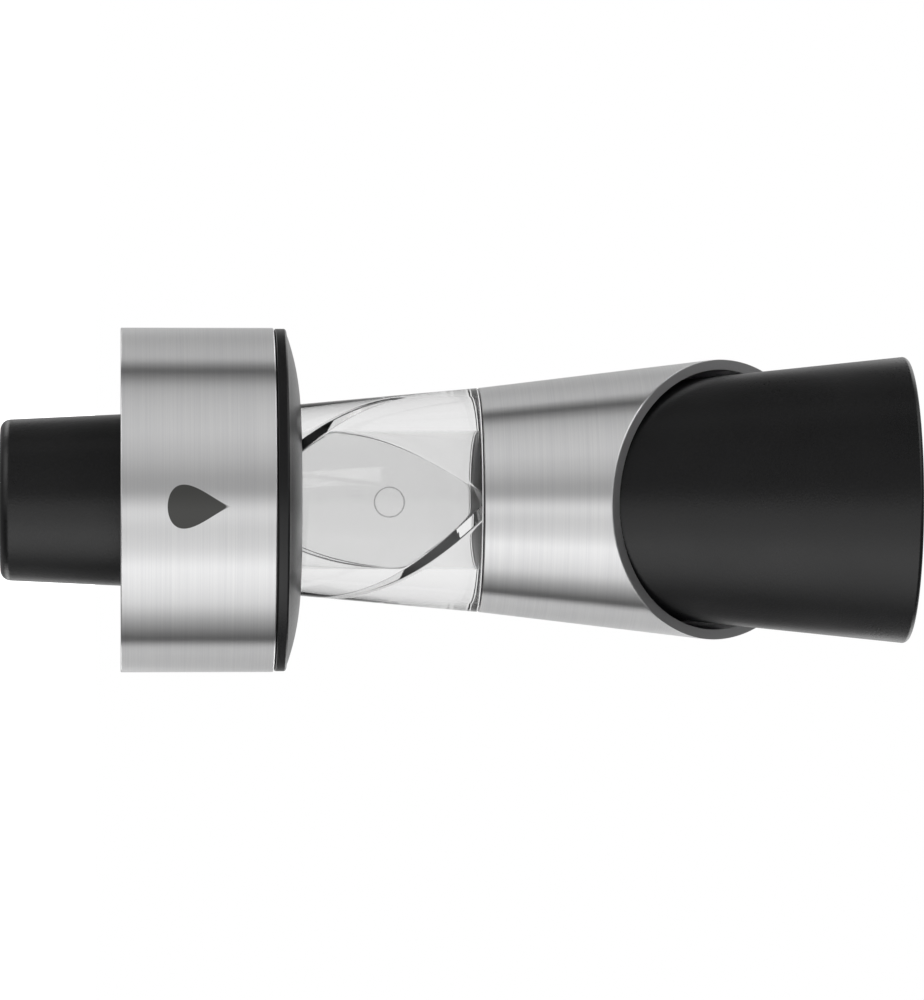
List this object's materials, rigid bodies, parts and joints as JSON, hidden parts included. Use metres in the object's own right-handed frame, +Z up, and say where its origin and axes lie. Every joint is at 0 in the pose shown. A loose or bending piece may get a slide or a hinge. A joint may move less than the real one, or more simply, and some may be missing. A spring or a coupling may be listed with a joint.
{
  "type": "wine pourer",
  "caption": "Aerating wine pourer: black stopper, brushed steel collar, clear chamber with a twisted vane, and a black funnel in a slant-cut steel sleeve.",
  "frame": {"origin": "centre of the stopper's tip, where it stands on a table", "axes": "+Z up along the pourer's axis from the stopper's tip to the funnel's mouth; -Y towards the sleeve's short side, which the picture shows; +X to the right when seen from there"},
  "size_m": [0.04, 0.04, 0.1056],
  "materials": {
    "stopper_silicone": "matte",
    "black_plastic": "fine matte grain",
    "brushed_steel": "brushed round the axis",
    "clear_acrylic": "polished"
  },
  "bodies": {
    "root": {"bottle_stopper": "stopper_silicone", "collar_hub": "black_plastic", "collar_ring": "brushed_steel", "collar_cap": "black_plastic", "chamber_seal": "stopper_silicone", "aerator_chamber": "clear_acrylic", "swirl_vane": "clear_acrylic", "spout_seal": "stopper_silicone", "pouring_funnel": "black_plastic", "spout_sleeve": "brushed_steel"}
  },
  "joints": []
}
